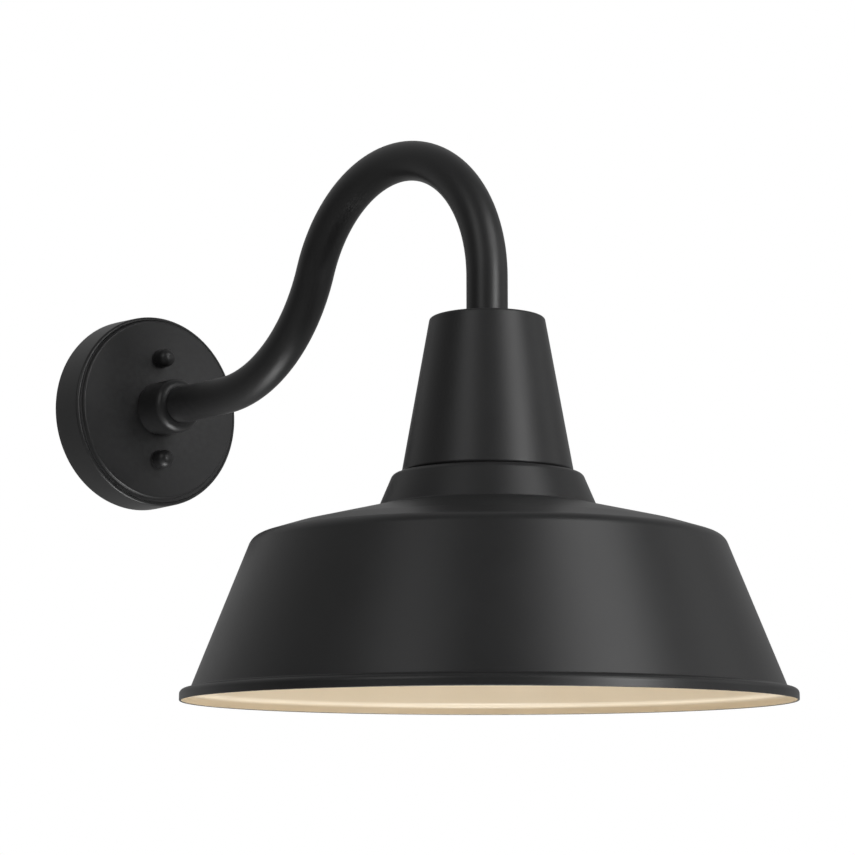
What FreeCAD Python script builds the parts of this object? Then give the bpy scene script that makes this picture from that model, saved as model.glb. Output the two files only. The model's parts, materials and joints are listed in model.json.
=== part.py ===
import FreeCAD, Part
import math
import os

# Gooseneck wall lantern: a round wall canopy, a bent tube arm, a tapered socket cup and a spun shade.
# The origin is on the wall, in line with the arm's root and midway between the two studs. +Z is up and
# the lantern reaches out along -Y. All sizes are in millimetres. Heights of cup, shade, lampholder and
# bulb are measured from the lamp's level, which lies LAMP_DROP below the axis of the arm's root.

Vec = FreeCAD.Vector

# ---- driving dimensions -------------------------------------------------------------------------

# canopy, measured outwards from the wall; its disc and holes lie CANOPY_DROP above the pan's centre
CANOPY_DROP = 1.1
CANOPY_RADIUS = 66.0
CANOPY_FRONT_RADIUS = 65.4
CANOPY_DEPTH = 28.5
CANOPY_STEP = 2.0
DISC_RADIUS = 60.9
DISC_SLOPE = 0.9
DISC_ROUNDING = 1.4
CANOPY_EDGE_ROUNDING = 2.4
CANOPY_SHEET = 1.2
GASKET_THICKNESS = 1.6
GASKET_INNER_RADIUS = 57.5
STUD_SPACING = 69.85

# junction box screws reach from the narrow to the wide standard spacing in one slot
BOX_SPACING_NARROW = 69.85
BOX_SPACING_WIDE = 88.9
BOX_SLOT_RADIUS = 2.4
BRACKET_THICKNESS = 2.0
BRACKET_SPAN = 106.0
BRACKET_HEIGHT = 92.0
BRACKET_WIDTH = 22.0
BRACKET_HUB_RADIUS = 20.0
BRACKET_HOLE_RADIUS = 10.0

# number 8 screws and studs; thread gaps are radial
STUD_RADIUS = 2.05
THREAD_GAP = 0.06
CLEARANCE_HOLE_RADIUS = 2.6
CAP_NUT_RADIUS = 6.1
CAP_NUT_HEIGHT = 11.4
CAP_NUT_ROUNDING = 5.4

# arm
TUBE_RADIUS = 12.25
TUBE_WALL = 1.65
ARM_REACH = 368.4
ARM_LOWER_RADIUS = 106.0
ARM_UPPER_RADIUS = 85.75
ARM_CLIMB = 69.1
LAMP_DROP = 1.3
COLLAR_RADIUS = 18.3
COLLAR_LENGTH = 25.5
COLLAR_ROUNDING = 5.0
SEAL_THICKNESS = 0.8
NIPPLE_RADIUS = 5.0
NIPPLE_BORE_RADIUS = 3.4
NIPPLE_GAP = 0.03
NIPPLE_HOLE_RADIUS = 5.3
NIPPLE_WASHER_RADIUS = 8.6
NIPPLE_WASHER = 0.9
NIPPLE_NUT_FLATS = 14.0
NIPPLE_NUT = 4.0
BUSH_LENGTH = 16.0

# socket cup
CUP_TOP = 13.85
CUP_BOTTOM = -78.0
CUP_TOP_RADIUS = 33.95
CUP_BOTTOM_RADIUS = 50.3
CUP_SHEET = 1.2
CUP_TOP_ROUNDING = 2.0
CUP_FOOT_ROUNDING = 1.4
HEAD_RING_THICKNESS = 1.5
HEAD_RING_RADIUS = 15.0
FLANGE_INNER_RADIUS = 39.0

# shade, a 14 inch spinning, from its flat top ring down to the rim
SHADE_SHEET = 1.2
SHADE_TOP = CUP_BOTTOM - SEAL_THICKNESS
NECK_RADIUS = 55.4
NECK_ROUNDING = 4.0
CROWN_START_RADIUS = 63.7
CROWN_START = -98.4
CROWN_BREAK_RADIUS = 115.1
CROWN_BREAK = -110.5
CROWN_ROUNDING = 60.0
SHOULDER_RADIUS = 137.1
SHOULDER = -117.3
SHOULDER_ROUNDING = 8.8
SKIRT_RADIUS = 171.2
SKIRT_END = -203.6
RIM_RADIUS = 177.5
RIM_SHELF = -204.6
RIM_ROUNDING = 3.0
SHADE_RIM = -210.8
SHADE_SCREW_CIRCLE = 44.0
SHADE_SCREW_COUNT = 3

# lampholder and bulb: medium screw base, 26 mm, and a 60 mm globe
SOCKET_HEAD_RADIUS = 19.0
SOCKET_SKIRT_RADIUS = 20.5
SOCKET_SHOULDER = -31.0
SOCKET_TOP = -15.5
SOCKET_FLOOR = -33.2
SOCKET_MOUTH = -66.0
SOCKET_BORE_RADIUS = 14.0
SHELL_RADIUS = 13.35
SHELL_SHEET = 0.4
BULB_TIP = -35.0
BULB_LENGTH = 110.0
BULB_CAP_RADIUS = 13.05
BULB_GLOBE_RADIUS = 30.0
BULB_GLASS = 0.8

WIRE_RADIUS = 1.05

# radial gaps of plain fits, from tightest to widest
SEAT_GAP = 0.02
FREE_GAP = 0.1
DRILL_GAP = 0.2

# ---- sizes that follow from those above ---------------------------------------------------------

FACE = CANOPY_DEPTH
FACE_INSIDE = CANOPY_DEPTH - CANOPY_SHEET
STUD_TIP = FACE + 8.4
ARM_START = FACE + SEAL_THICKNESS
ARM_STRAIGHT_END = (
    ARM_REACH
    - ARM_UPPER_RADIUS
    - (ARM_LOWER_RADIUS + ARM_UPPER_RADIUS) * math.sin(math.radians(ARM_CLIMB))
)
ARM_END = CUP_TOP + HEAD_RING_THICKNESS
TUBE_BORE = TUBE_RADIUS - TUBE_WALL
CUP_CEILING = CUP_TOP - CUP_SHEET
CUP_FLANGE_TOP = CUP_BOTTOM + CUP_SHEET
SHADE_RING_BOTTOM = SHADE_TOP - SHADE_SHEET
BULB_BOTTOM = BULB_TIP - BULB_LENGTH
GLOBE_CENTRE = BULB_BOTTOM + BULB_GLOBE_RADIUS

OUTWARD = Vec(0, -1, 0)
UP = Vec(0, 0, 1)
DOWN = Vec(0, 0, -1)
RIGHT = Vec(1, 0, 0)


# ---- shape helpers: every turned shape is drawn about +Z and then placed ------------------------


def line(start, end):
    return Part.LineSegment(start, end).toShape()


def rounded_path(corners):
    """Lines through (radius, height) corners; a third value in a corner is its rounding radius."""
    points = [Vec(corner[0], 0, corner[1]) for corner in corners]
    edges = []
    start = points[0]
    for index in range(1, len(points) - 1):
        corner = points[index]
        if len(corners[index]) == 2:
            edges.append(line(start, corner))
            start = corner
            continue
        rounding = corners[index][2]
        back = (points[index - 1] - corner).normalize()
        ahead = (points[index + 1] - corner).normalize()
        half_angle = back.getAngle(ahead) / 2
        inward = (back + ahead).normalize()
        reach = rounding / math.tan(half_angle)
        to_centre = rounding / math.sin(half_angle)
        arc_start = corner + back * reach
        arc_middle = corner + inward * (to_centre - rounding)
        arc_end = corner + ahead * reach
        edges.append(line(start, arc_start))
        edges.append(Part.Arc(arc_start, arc_middle, arc_end).toShape())
        start = arc_end
    edges.append(line(start, points[-1]))
    return Part.Wire(edges)


def outward_facing(shape):
    if shape.Volume < 0:
        shape.reverse()
    return shape


def turned(corners):
    """A solid of revolution about Z from a closed outline. The first corner is left sharp."""
    face = Part.Face(rounded_path(corners + [corners[0]]))
    return outward_facing(face.revolve(Vec(0, 0, 0), UP, 360))


def spun(corners, thickness):
    """A sheet turned about Z. The corners lie on its outer skin, from the axis outwards and down."""
    skin = rounded_path(corners)
    section = skin.makeOffset2D(-thickness, 0, True, True)
    return outward_facing(section.Faces[0].revolve(Vec(0, 0, 0), UP, 360))


def cylinder(radius, low, high):
    return Part.makeCylinder(radius, high - low, Vec(0, 0, low))


def ring(inner, outer, low, high):
    return cylinder(outer, low, high).cut(cylinder(inner, low - 1, high + 1))


def box(low, high):
    return Part.makeBox(high[0] - low[0], high[1] - low[1], high[2] - low[2], Vec(*low))


def hexagon(across_flats, low, high):
    """A hexagonal prism with chamfered corners at both ends."""
    corner_radius = across_flats / math.sqrt(3)
    chamfer = (corner_radius - across_flats / 2) * 1.2
    corners = [
        Vec(corner_radius * math.cos(k * math.pi / 3), corner_radius * math.sin(k * math.pi / 3), low)
        for k in range(7)
    ]
    prism = Part.Face(Part.makePolygon(corners)).extrude(Vec(0, 0, high - low))
    barrel = cylinder(corner_radius, low, high)
    rims = [edge for edge in barrel.Edges if isinstance(edge.Curve, Part.Circle)]
    return prism.common(barrel.makeChamfer(chamfer, rims))


def hex_nut(across_flats, hole, low, high):
    return hexagon(across_flats, low, high).cut(cylinder(hole, low - 1, high + 1))


def spring_washer(inner, outer, low, high):
    """A split lock washer: a ring with a slanting cut through one side."""
    gap = 1.0
    slant = 20
    cutter = box((inner - 1, -gap / 2, low - 1), (outer + 1, gap / 2, high + 1))
    cutter.rotate(Vec(0, 0, (low + high) / 2), RIGHT, slant)
    return ring(inner, outer, low, high).cut(cutter)


def pan_screw(shank, head, head_height, shank_length):
    """A slotted pan-head screw: its head stands on z = 0 and its shank points down."""
    bevel = 0.4
    body = turned([
        (0, -shank_length),
        (shank - bevel, -shank_length),
        (shank, -shank_length + bevel),
        (shank, 0),
        (head, 0),
        (head, head_height, head_height * 0.7),
        (0, head_height),
    ])
    slot_width = head * 0.28
    slot_floor = head_height / 2
    slot = box((-head - 1, -slot_width / 2, slot_floor), (head + 1, slot_width / 2, head_height + 1))
    return body.cut(slot)


def moved(shape, offset):
    copy = shape.copy()
    copy.translate(Vec(*offset))
    return copy


def pointed(shape, axis, position):
    """Turns a shape drawn along +Z to point along axis and moves its origin to position."""
    copy = shape.copy()
    copy.Placement = FreeCAD.Placement(Vec(*position), FreeCAD.Rotation(UP, axis))
    return copy


def on_wall(shape):
    """Stands a shape drawn along +Z on the wall, so that its +Z points away from the wall."""
    copy = shape.copy()
    copy.rotate(Vec(0, 0, 0), RIGHT, 90)
    return copy


def on_lamp(shape):
    """Moves a shape drawn about Z to the axis of cup, shade and bulb, at the lamp's level."""
    return moved(shape, (0, -ARM_REACH, -LAMP_DROP))


def pair_at_studs(shape):
    """Copies a shape drawn along +Z to the upper and the lower stud."""
    copies = [on_wall(moved(shape, (0, side * STUD_SPACING / 2, 0))) for side in (1, -1)]
    return Part.makeCompound(copies)


class Route:
    """A path of straight runs and tangent arcs, walked from one end to the other."""

    def __init__(self, start, heading):
        self.position = Vec(start)
        self.heading = Vec(heading).normalize()
        self.edges = []

    def straight(self, length):
        end = self.position + self.heading * length
        self.edges.append(line(self.position, end))
        self.position = end

    def bend(self, towards, degrees, radius):
        axis = self.heading.cross(Vec(towards)).normalize()
        centre = self.position + axis.cross(self.heading) * radius
        half_turn = FreeCAD.Rotation(axis, degrees / 2)
        full_turn = FreeCAD.Rotation(axis, degrees)
        spoke = self.position - centre
        middle = centre + half_turn.multVec(spoke)
        end = centre + full_turn.multVec(spoke)
        self.edges.append(Part.Arc(self.position, middle, end).toShape())
        self.position = end
        self.heading = full_turn.multVec(self.heading)

    def along_arm(self, rise, end_height):
        """Follows the arm's centre line, shifted by rise towards the outside of its upper bend.

        end_height is where it stops above the lamp's level.
        """
        self.straight(ARM_STRAIGHT_END + self.position.y)
        self.bend(UP, ARM_CLIMB, ARM_LOWER_RADIUS - rise)
        self.bend(OUTWARD, ARM_CLIMB + 90, ARM_UPPER_RADIUS + rise)
        self.straight(self.position.z - end_height + LAMP_DROP)

    def length(self):
        return sum(edge.Length for edge in self.edges)

    def tube(self, radius):
        start = self.edges[0].firstVertex().Point
        heading = self.edges[0].tangentAt(self.edges[0].FirstParameter)
        circle = Part.Wire(Part.Circle(start, heading, radius).toShape())
        return outward_facing(Part.Wire(self.edges).makePipeShell([circle], True, False))


# ---- wall side ----------------------------------------------------------------------------------


def wall_gasket():
    inset = 0.5
    gasket = ring(GASKET_INNER_RADIUS, CANOPY_RADIUS - inset, 0, GASKET_THICKNESS)
    return on_wall(moved(gasket, (0, -CANOPY_DROP, 0)))


def rounded_bar(length, width, thickness):
    """A flat bar along X, centred on the origin, with rounded corners."""
    corner = 4.0
    bar = box((-length / 2, -width / 2, 0), (length / 2, width / 2, thickness))
    upright = [edge for edge in bar.Edges if abs(edge.tangentAt(0).z) > 0.9]
    return bar.makeFillet(corner, upright)


def box_screw_slot():
    """A slot along X for the junction box screws, centred on the origin."""
    half_run = (BOX_SPACING_WIDE - BOX_SPACING_NARROW) / 4
    slot = box(
        (-half_run, -BOX_SLOT_RADIUS, -1),
        (half_run, BOX_SLOT_RADIUS, BRACKET_THICKNESS + 1),
    )
    for side in (1, -1):
        end = cylinder(BOX_SLOT_RADIUS, -1, BRACKET_THICKNESS + 1)
        slot = slot.fuse(moved(end, (side * half_run, 0, 0)))
    return slot.removeSplitter()


GROUND_SCREW_PLACE = (22.5, 1.5)


def mounting_bracket():
    """A cross-shaped strap: slots left and right for the box, tapped holes above and below."""
    across = rounded_bar(BRACKET_SPAN, BRACKET_WIDTH, BRACKET_THICKNESS)
    upright = rounded_bar(BRACKET_HEIGHT, BRACKET_WIDTH, BRACKET_THICKNESS)
    upright.rotate(Vec(0, 0, 0), UP, 90)
    hub = cylinder(BRACKET_HUB_RADIUS, 0, BRACKET_THICKNESS)
    strap = across.fuse([upright, hub]).removeSplitter()
    strap = strap.cut(cylinder(BRACKET_HOLE_RADIUS, -1, BRACKET_THICKNESS + 1))
    slot_centre = (BOX_SPACING_NARROW + BOX_SPACING_WIDE) / 4
    stud_hole = cylinder(STUD_RADIUS + THREAD_GAP, -1, BRACKET_THICKNESS + 1)
    for side in (1, -1):
        strap = strap.cut(moved(box_screw_slot(), (side * slot_centre, 0, 0)))
        strap = strap.cut(moved(stud_hole, (0, side * STUD_SPACING / 2, 0)))
    strap = strap.cut(moved(stud_hole, (*GROUND_SCREW_PLACE, 0)))
    return on_wall(strap)


def mounting_studs():
    tip = STUD_TIP
    bevel = 0.5
    stud = turned([
        (0, 0),
        (STUD_RADIUS - bevel, 0),
        (STUD_RADIUS, bevel),
        (STUD_RADIUS, tip - bevel),
        (STUD_RADIUS - bevel, tip),
        (0, tip),
    ])
    return pair_at_studs(stud)


def stud_lock_nuts():
    across_flats = 8.7
    height = 3.2
    hole = STUD_RADIUS + THREAD_GAP
    return pair_at_studs(hex_nut(across_flats, hole, BRACKET_THICKNESS, BRACKET_THICKNESS + height))


RING_TERMINAL_THICKNESS = 0.8
RING_TERMINAL_BARREL = 1.6


def ground_screw():
    head = 4.2
    head_height = 2.8
    seat = BRACKET_THICKNESS + RING_TERMINAL_THICKNESS
    screw = pan_screw(STUD_RADIUS, head, head_height, seat)
    return on_wall(moved(screw, (*GROUND_SCREW_PLACE, seat)))


def ground_ring_terminal():
    """A ring under the ground screw with a crimped barrel that points at the canopy's centre."""
    outer = 3.9
    low = BRACKET_THICKNESS
    high = low + RING_TERMINAL_THICKNESS
    eye = cylinder(outer, low, high)
    tongue_half_width = 1.4
    tongue = box((-7.0, -tongue_half_width, low), (-2.0, tongue_half_width, high))
    barrel_length = 6.5
    barrel_start = Vec(-12.5, 0, low + RING_TERMINAL_BARREL)
    barrel = Part.makeCylinder(RING_TERMINAL_BARREL, barrel_length, barrel_start, RIGHT)
    terminal = eye.fuse([tongue, barrel]).removeSplitter()
    terminal = terminal.cut(cylinder(STUD_RADIUS + THREAD_GAP, low - 1, high + 1))
    bore_length = 4.5
    bore = Part.makeCylinder(WIRE_RADIUS + SEAT_GAP, bore_length, barrel_start, RIGHT)
    return on_wall(moved(terminal.cut(bore), (*GROUND_SCREW_PLACE, 0)))


def canopy_form(inset):
    """The canopy's solid outer form or, set inwards by the sheet's thickness, the hollow inside it."""
    ledge = CANOPY_DEPTH - CANOPY_STEP - inset
    back = GASKET_THICKNESS - inset
    pan = turned([
        (0, back),
        (CANOPY_RADIUS - inset, back),
        (CANOPY_RADIUS - inset, GASKET_THICKNESS + CANOPY_STEP),
        (CANOPY_FRONT_RADIUS - inset, ledge, CANOPY_EDGE_ROUNDING - inset),
        (0, ledge),
    ])
    disc_inset = inset * DISC_SLOPE / CANOPY_STEP
    disc = turned([
        (0, ledge - CANOPY_STEP),
        (DISC_RADIUS + DISC_SLOPE - disc_inset, ledge - CANOPY_STEP),
        (DISC_RADIUS + DISC_SLOPE - disc_inset, ledge),
        (DISC_RADIUS - disc_inset, FACE - inset, DISC_ROUNDING - inset),
        (0, FACE - inset),
    ])
    return disc.fuse(moved(pan, (0, -CANOPY_DROP, 0))).removeSplitter()


def canopy():
    """A pressed pan with a rounded edge and, just above its centre, a raised disc with a sloping edge."""
    pan = canopy_form(0).cut(canopy_form(CANOPY_SHEET))
    pan = pan.cut(cylinder(NIPPLE_HOLE_RADIUS, FACE_INSIDE - 1, FACE + 1))
    stud_hole = cylinder(CLEARANCE_HOLE_RADIUS, FACE_INSIDE - 1, FACE + 1)
    for side in (1, -1):
        pan = pan.cut(moved(stud_hole, (0, side * STUD_SPACING / 2, 0)))
    return on_wall(pan)


def cap_nut_washers():
    overhang = 0.3
    washer = ring(STUD_RADIUS + THREAD_GAP, CAP_NUT_RADIUS + overhang, FACE, FACE + SEAL_THICKNESS)
    return pair_at_studs(washer)


def cap_nuts():
    """Small round blind nuts with a domed end."""
    low = FACE + SEAL_THICKNESS
    high = low + CAP_NUT_HEIGHT
    bore = STUD_RADIUS + THREAD_GAP
    bore_end = STUD_TIP + 0.6
    nut = turned([
        (bore, low),
        (CAP_NUT_RADIUS, low),
        (CAP_NUT_RADIUS, high, CAP_NUT_ROUNDING),
        (0, high),
        (0, bore_end),
        (bore, bore_end),
    ])
    return pair_at_studs(nut)


def collar_gasket():
    inset = 0.3
    return on_wall(ring(NIPPLE_HOLE_RADIUS, COLLAR_RADIUS - inset, FACE, ARM_START))


SET_SCREW_RADIUS = 2.0
SET_SCREW_PLACE = ARM_START + 11.0


def arm_collar():
    """A plain collar round the tube's root with a rounded front edge and a set screw below."""
    end = ARM_START + COLLAR_LENGTH
    bore = TUBE_RADIUS + FREE_GAP
    back_bevel = 0.4
    bore_bevel = 0.6
    collar = turned([
        (bore, ARM_START),
        (COLLAR_RADIUS - back_bevel, ARM_START),
        (COLLAR_RADIUS, ARM_START + back_bevel),
        (COLLAR_RADIUS, end, COLLAR_ROUNDING),
        (bore + bore_bevel, end),
        (bore, end - bore_bevel),
    ])
    hole = Part.makeCylinder(
        SET_SCREW_RADIUS + THREAD_GAP, COLLAR_RADIUS, Vec(0, 0, SET_SCREW_PLACE), Vec(0, -1, 0)
    )
    return on_wall(collar.cut(hole))


def collar_set_screw():
    """A headless screw with a hexagon recess; its inner end bears on the tube."""
    inner = TUBE_RADIUS + SEAT_GAP
    sunk = 0.3
    outer = COLLAR_RADIUS - sunk
    screw = cylinder(SET_SCREW_RADIUS, inner, outer)
    recess_flats = 2.0
    recess_depth = 2.2
    recess = hexagon(recess_flats, outer - recess_depth, outer + 1)
    return pointed(screw.cut(recess), DOWN, (0, -SET_SCREW_PLACE, 0))


def threaded_bush(low, high):
    return ring(NIPPLE_RADIUS + NIPPLE_GAP, TUBE_BORE - SEAT_GAP, low, high)


def nipple(low, high):
    """A hollow threaded rod with bevelled ends."""
    bevel = 0.6
    return turned([
        (NIPPLE_BORE_RADIUS, low),
        (NIPPLE_RADIUS - bevel, low),
        (NIPPLE_RADIUS, low + bevel),
        (NIPPLE_RADIUS, high - bevel),
        (NIPPLE_RADIUS - bevel, high),
        (NIPPLE_BORE_RADIUS, high),
    ])


WALL_NIPPLE_START = 12.0
NIPPLE_SETBACK = 2.5


def arm_root_bush():
    return on_wall(threaded_bush(ARM_START, ARM_START + BUSH_LENGTH))


def wall_nipple():
    return on_wall(nipple(WALL_NIPPLE_START, ARM_START + BUSH_LENGTH - NIPPLE_SETBACK))


def nipple_washer(high):
    return spring_washer(NIPPLE_RADIUS + FREE_GAP, NIPPLE_WASHER_RADIUS, high - NIPPLE_WASHER, high)


def nipple_nut(high):
    return hex_nut(NIPPLE_NUT_FLATS, NIPPLE_RADIUS + NIPPLE_GAP, high - NIPPLE_NUT, high)


def wall_nipple_washer():
    return on_wall(nipple_washer(FACE_INSIDE))


def wall_nipple_nut():
    return on_wall(nipple_nut(FACE_INSIDE - NIPPLE_WASHER))


# ---- arm ----------------------------------------------------------------------------------------


def arm_route():
    route = Route(Vec(0, -ARM_START, 0), OUTWARD)
    route.along_arm(0, ARM_END)
    return route


def arm_tube():
    """One bent tube with a small bead rolled round its lamp end."""
    outside = arm_route().tube(TUBE_RADIUS)
    inside = arm_route().tube(TUBE_BORE)
    bead_radius = TUBE_RADIUS + 0.7
    bead_root = TUBE_RADIUS - 0.5
    bead_top = ARM_END + 2.2
    bead = turned([
        (bead_root, ARM_END),
        (bead_radius, ARM_END, 0.5),
        (bead_radius, bead_top, 0.6),
        (bead_root, bead_top),
    ])
    return outside.fuse(on_lamp(bead)).removeSplitter().cut(inside)


def arm_head_bush():
    return on_lamp(threaded_bush(ARM_END, ARM_END + BUSH_LENGTH))


# ---- lamp head ----------------------------------------------------------------------------------

HEAD_NIPPLE_END = 2.0
STRAP_SHEET = 1.5
STRAP_HALF_SPAN = 15.0
STRAP_WIDTH = 14.0
STRAP_SCREW_PLACE = 10.0


def head_nipple():
    return on_lamp(nipple(HEAD_NIPPLE_END, ARM_END + BUSH_LENGTH - NIPPLE_SETBACK))


def head_ring():
    """The soft ring between the tube's end and the cup."""
    edge_rounding = 0.9
    return on_lamp(turned([
        (NIPPLE_HOLE_RADIUS, CUP_TOP),
        (HEAD_RING_RADIUS, CUP_TOP),
        (HEAD_RING_RADIUS, ARM_END, edge_rounding),
        (NIPPLE_HOLE_RADIUS, ARM_END),
    ]))


def shade_screw_holes(low, high):
    """Three drill shapes on the screw circle, for the cup, the gasket and the shade."""
    drill = cylinder(STUD_RADIUS + DRILL_GAP, low, high)
    return spread_round(drill, SHADE_SCREW_CIRCLE, SHADE_SCREW_COUNT, 90)


def spread_round(shape, circle_radius, count, first_angle):
    """Copies a shape drawn about Z to even places round a circle, turned to face the centre."""
    copies = []
    for k in range(count):
        copy = moved(shape, (circle_radius, 0, 0))
        copy.rotate(Vec(0, 0, 0), UP, first_angle + k * 360 / count)
        copies.append(copy)
    return Part.makeCompound(copies)


def socket_cup():
    """A tapered spun cup whose lower edge turns inwards as a flange for the shade."""
    cup = spun(
        [
            (NIPPLE_HOLE_RADIUS, CUP_TOP),
            (CUP_TOP_RADIUS, CUP_TOP, CUP_TOP_ROUNDING),
            (CUP_BOTTOM_RADIUS, CUP_BOTTOM, CUP_FOOT_ROUNDING),
            (FLANGE_INNER_RADIUS, CUP_BOTTOM),
        ],
        CUP_SHEET,
    )
    return on_lamp(cup.cut(shade_screw_holes(CUP_BOTTOM - 1, CUP_FLANGE_TOP + 1)))


def socket_strap():
    """A bent strap: a top plate on the nipple, two legs, and two feet that hold the socket."""
    top = CUP_CEILING
    bottom = SOCKET_TOP
    half_width = STRAP_WIDTH / 2
    foot_reach = 4.0
    screw_hole = 1.7
    plate = box((-half_width, -STRAP_HALF_SPAN, top - STRAP_SHEET), (half_width, STRAP_HALF_SPAN, top))
    strap = plate.cut(cylinder(NIPPLE_RADIUS + DRILL_GAP, top - 3, top + 1))
    for side in (1, -1):
        outer = side * STRAP_HALF_SPAN
        inner = side * (STRAP_HALF_SPAN - STRAP_SHEET)
        foot_end = side * (STRAP_SCREW_PLACE - foot_reach)
        leg = box((-half_width, min(outer, inner), bottom), (half_width, max(outer, inner), top))
        foot = box(
            (-half_width, min(outer, foot_end), bottom),
            (half_width, max(outer, foot_end), bottom + STRAP_SHEET),
        )
        drill = cylinder(screw_hole, bottom - 1, bottom + STRAP_SHEET + 1)
        hole = moved(drill, (0, side * STRAP_SCREW_PLACE, 0))
        strap = strap.fuse([leg, foot]).cut(hole)
    return on_lamp(strap.removeSplitter())


def head_nipple_washer():
    return on_lamp(nipple_washer(CUP_CEILING - STRAP_SHEET))


def head_nipple_nut():
    return on_lamp(nipple_nut(CUP_CEILING - STRAP_SHEET - NIPPLE_WASHER))


STRAP_SCREW_RADIUS = 1.5
STRAP_SCREW_LENGTH = 9.0
TERMINAL_SCREW_RADIUS = 1.7
TERMINAL_SCREW_LENGTH = 6.0
TERMINAL_HEIGHT = -24.0
TERMINAL_FACE = 17.2
SCREW_HOLE_GAP = 0.05
CONTACT_STEM_RADIUS = 1.6


def strap_screws():
    head = 2.9
    head_height = 2.0
    screw = pan_screw(STRAP_SCREW_RADIUS, head, head_height, STRAP_SCREW_LENGTH)
    seat = SOCKET_TOP + STRAP_SHEET
    screws = [moved(screw, (0, side * STRAP_SCREW_PLACE, seat)) for side in (1, -1)]
    return on_lamp(Part.makeCompound(screws))


def socket_body():
    """A porcelain lampholder body: a narrow head with two terminal flats and a wider skirt."""
    shoulder_slope = 2.0
    edge = 1.0
    mouth_edge = 1.6
    body = turned([
        (0, SOCKET_TOP),
        (SOCKET_HEAD_RADIUS, SOCKET_TOP, edge),
        (SOCKET_HEAD_RADIUS, SOCKET_SHOULDER, edge),
        (SOCKET_SKIRT_RADIUS, SOCKET_SHOULDER - shoulder_slope, edge),
        (SOCKET_SKIRT_RADIUS, SOCKET_MOUTH, mouth_edge),
        (SOCKET_BORE_RADIUS, SOCKET_MOUTH),
        (SOCKET_BORE_RADIUS, SOCKET_FLOOR),
        (0, SOCKET_FLOOR),
    ])
    reach = SOCKET_SKIRT_RADIUS + 1
    strap_hole_end = SOCKET_TOP - STRAP_SCREW_LENGTH
    strap_drill = cylinder(STRAP_SCREW_RADIUS + SCREW_HOLE_GAP, strap_hole_end, SOCKET_TOP + 1)
    for side in (1, -1):
        flat = box((TERMINAL_FACE, -reach, SOCKET_SHOULDER), (reach, reach, SOCKET_TOP + 1))
        if side < 0:
            flat.rotate(Vec(0, 0, 0), UP, 180)
        terminal_hole = Part.makeCylinder(
            TERMINAL_SCREW_RADIUS + SCREW_HOLE_GAP,
            TERMINAL_SCREW_LENGTH + 1,
            Vec(side * (TERMINAL_FACE + 1), 0, TERMINAL_HEIGHT),
            Vec(-side, 0, 0),
        )
        strap_hole = moved(strap_drill, (0, side * STRAP_SCREW_PLACE, 0))
        body = body.cut([flat, terminal_hole, strap_hole])
    contact_hole = cylinder(CONTACT_STEM_RADIUS + SCREW_HOLE_GAP, SOCKET_FLOOR - 1, SOCKET_TOP + 1)
    return on_lamp(body.cut(contact_hole))


def socket_screw_shell():
    """The brass screw shell: a thin cup, open downwards, with a hole for the centre contact."""
    outer = SHELL_RADIUS + SHELL_SHEET
    floor_hole = 6.5
    mouth = SOCKET_MOUTH + 5.0
    shell = turned([
        (floor_hole, SOCKET_FLOOR),
        (outer, SOCKET_FLOOR, 0.8),
        (outer, mouth),
        (SHELL_RADIUS, mouth),
        (SHELL_RADIUS, SOCKET_FLOOR - SHELL_SHEET, 0.4),
        (floor_hole, SOCKET_FLOOR - SHELL_SHEET),
    ])
    return on_lamp(shell)


def socket_centre_contact():
    """The live contact in the socket's floor, with a stem up through the porcelain."""
    head = 4.2
    stem_top = SOCKET_TOP - 1.0
    return on_lamp(turned([
        (0, stem_top),
        (CONTACT_STEM_RADIUS, stem_top),
        (CONTACT_STEM_RADIUS, SOCKET_FLOOR),
        (head, SOCKET_FLOOR, 0.3),
        (head, BULB_TIP + 0.4, 0.4),
        (0, BULB_TIP + 0.3),
    ]))


def terminal_screws():
    head = 3.2
    head_height = 2.2
    screw = pan_screw(TERMINAL_SCREW_RADIUS, head, head_height, TERMINAL_SCREW_LENGTH)
    sides = [pointed(screw, RIGHT * side, (side * TERMINAL_FACE, 0, TERMINAL_HEIGHT)) for side in (1, -1)]
    return on_lamp(Part.makeCompound(sides))


def shade_gasket():
    inset = 1.0
    gasket = ring(FLANGE_INNER_RADIUS, CUP_BOTTOM_RADIUS - inset, SHADE_TOP, CUP_BOTTOM)
    return on_lamp(gasket.cut(shade_screw_holes(SHADE_TOP - 1, CUP_BOTTOM + 1)))


def shade():
    """A spun shade: flat ring, stepped neck, shallow crown, steep skirt and a flanged rim."""
    body = spun(
        [
            (FLANGE_INNER_RADIUS, SHADE_TOP),
            (NECK_RADIUS, SHADE_TOP, NECK_ROUNDING),
            (CROWN_START_RADIUS, CROWN_START, SHADE_SHEET),
            (CROWN_BREAK_RADIUS, CROWN_BREAK, CROWN_ROUNDING),
            (SHOULDER_RADIUS, SHOULDER, SHOULDER_ROUNDING),
            (SKIRT_RADIUS, SKIRT_END, SHADE_SHEET),
            (RIM_RADIUS, RIM_SHELF, RIM_ROUNDING),
            (RIM_RADIUS, SHADE_RIM),
        ],
        SHADE_SHEET,
    )
    return on_lamp(body.cut(shade_screw_holes(SHADE_TOP - 3, SHADE_TOP + 1)))


SHADE_NUT_HEIGHT = 3.0


def shade_screws():
    """Screws put in from inside the shade, heads down."""
    head = 3.7
    head_height = 2.4
    nut_and_tip = SHADE_NUT_HEIGHT + 1.2
    length = SHADE_SHEET + SEAL_THICKNESS + CUP_SHEET + nut_and_tip
    screw = pan_screw(STUD_RADIUS, head, head_height, length)
    screw.rotate(Vec(0, 0, 0), RIGHT, 180)
    screws = spread_round(screw, SHADE_SCREW_CIRCLE, SHADE_SCREW_COUNT, 90)
    return on_lamp(moved(screws, (0, 0, SHADE_RING_BOTTOM)))


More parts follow.
